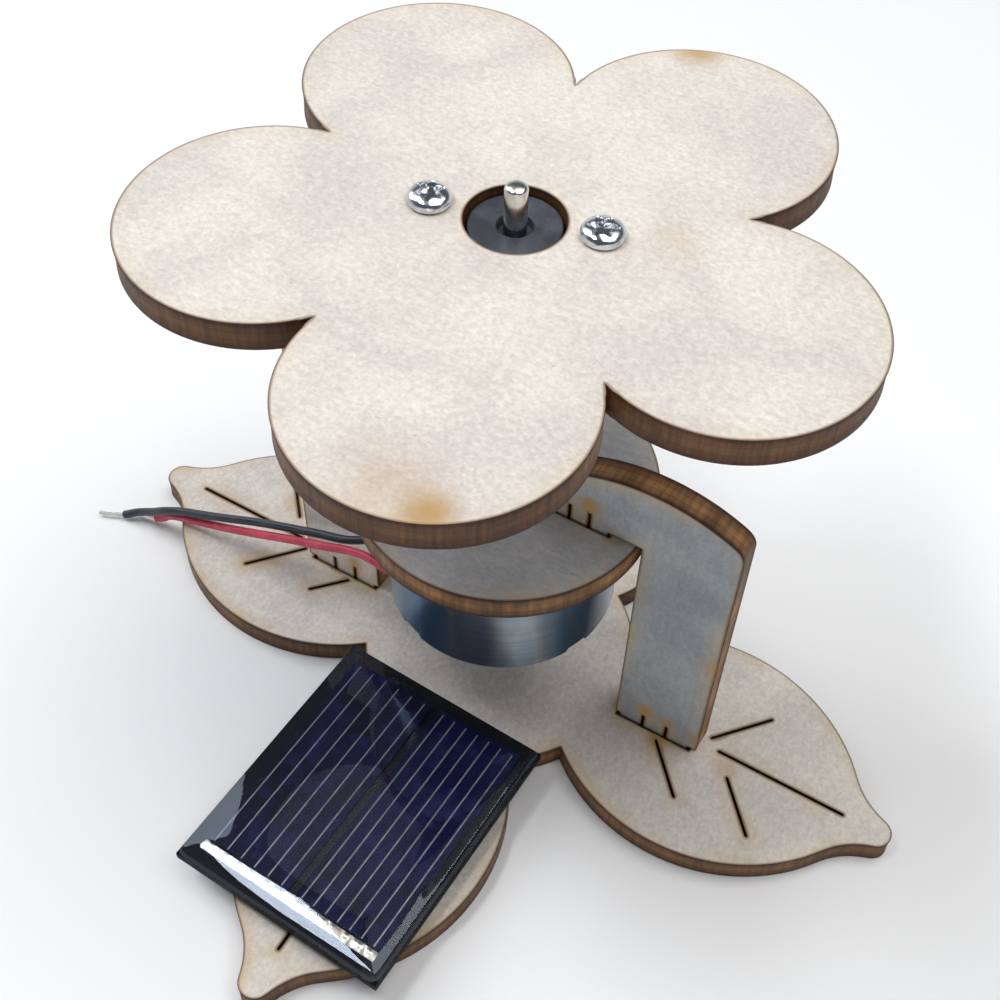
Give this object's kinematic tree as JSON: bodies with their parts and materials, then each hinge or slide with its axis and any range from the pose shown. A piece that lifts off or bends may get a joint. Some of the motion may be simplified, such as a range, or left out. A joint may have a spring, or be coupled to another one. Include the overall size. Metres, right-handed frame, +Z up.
{
  "type": "solar spinning flower kit",
  "caption": "Desk kit of laser-cut plywood: a round-petalled flower turned by a small solar motor held over a leaf-shaped base, with a small solar panel on one leaf.",
  "frame": {"origin": "on the motor shaft's axis, at the underside of the base board", "axes": "+Z up along the shaft; +X along the line through the two stems; -Y towards the leaf that carries the solar panel"},
  "size_m": [0.1013, 0.0793, 0.0688],
  "materials": {
    "plywood": "laser-cut birch plywood, pale faces and scorched brown edges",
    "motor_steel": "drawn, bright zinc plate",
    "black_plastic": "moulded, satin",
    "bearing_bronze": "sintered, oiled",
    "polished_steel": "ground and bright plated",
    "core_iron": "stacked laminations",
    "copper_winding": "enamelled copper wire",
    "ferrite": "sintered, matte dark grey",
    "contact_brass": "spring strip and segments",
    "tinned_metal": "solder-tinned copper",
    "panel_laminate": "dark circuit laminate",
    "solar_cell": "dark blue silicon with fine grey fingers",
    "clear_resin": "clear cast resin, domed edge, glossy",
    "foam_tape": "double-sided foam",
    "black_insulation": "soft vinyl",
    "red_insulation": "soft vinyl"
  },
  "bodies": {
    "stand": {"base_board": "plywood", "left_stem": "plywood", "right_stem": "plywood", "motor_plate": "plywood", "motor_can": "motor_steel", "motor_end_cap": "black_plastic", "upper_bearing": "bearing_bronze", "lower_bearing": "bearing_bronze", "motor_screw_front": "polished_steel", "motor_screw_rear": "polished_steel", "magnet_left": "ferrite", "magnet_right": "ferrite", "negative_brush": "contact_brass", "positive_brush": "contact_brass", "negative_terminal": "tinned_metal", "positive_terminal": "tinned_metal", "negative_joint": "tinned_metal", "positive_joint": "tinned_metal", "collector_strip": "tinned_metal", "panel_pad_minus": "tinned_metal", "panel_pad_plus": "tinned_metal", "black_tip": "tinned_metal", "red_tip": "tinned_metal", "panel_board": "panel_laminate", "solar_cell_left": "solar_cell", "solar_cell_right": "solar_cell", "resin_cover": "clear_resin", "mounting_tape": "foam_tape", "black_lead": "black_insulation", "red_lead": "red_insulation"},
    "spinner": {"motor_shaft": "polished_steel", "rotor_core": "core_iron", "rotor_coil_a": "copper_winding", "rotor_coil_b": "copper_winding", "rotor_coil_c": "copper_winding", "commutator": "contact_brass", "flower_hub": "black_plastic", "flower": "plywood", "flower_screw_left": "polished_steel", "flower_screw_right": "polished_steel"}
  },
  "joints": [
    {"name": "flower_spin", "type": "hinge", "parent": "stand", "child": "spinner", "pos_m": [0, 0, 0.03], "axis": [0, 0, 1], "continuous": true}
  ]
}
